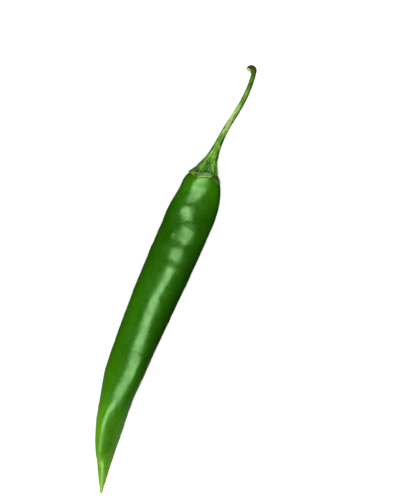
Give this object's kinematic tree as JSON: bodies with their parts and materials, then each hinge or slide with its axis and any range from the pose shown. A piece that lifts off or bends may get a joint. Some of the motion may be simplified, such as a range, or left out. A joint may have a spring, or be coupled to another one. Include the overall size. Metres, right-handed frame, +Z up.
{
  "type": "chilli pepper",
  "caption": "Long green chilli pepper: a slightly curved pod tapering to a blunt point, a ribbed calyx cap and a slender stem with a hooked, swollen cut end, lying on its side.",
  "frame": {"origin": "on the surface the chilli lies on, under the middle of its overall length and width", "axes": "+X along the chilli from the pod's tip to the stem, +Y across it, +Z up from the surface it lies on"},
  "size_m": [0.1626, 0.02, 0.0172],
  "materials": {
    "pod_skin": "smooth, waxy and glossy, deep green and lighter at the tip",
    "calyx": "satin, ribbed, dark green with a yellowish rim",
    "stem": "satin, finely ribbed lengthwise, pale at the cut end"
  },
  "bodies": {
    "root": {"pod": "pod_skin", "calyx": "calyx", "stem": "stem"}
  },
  "joints": []
}
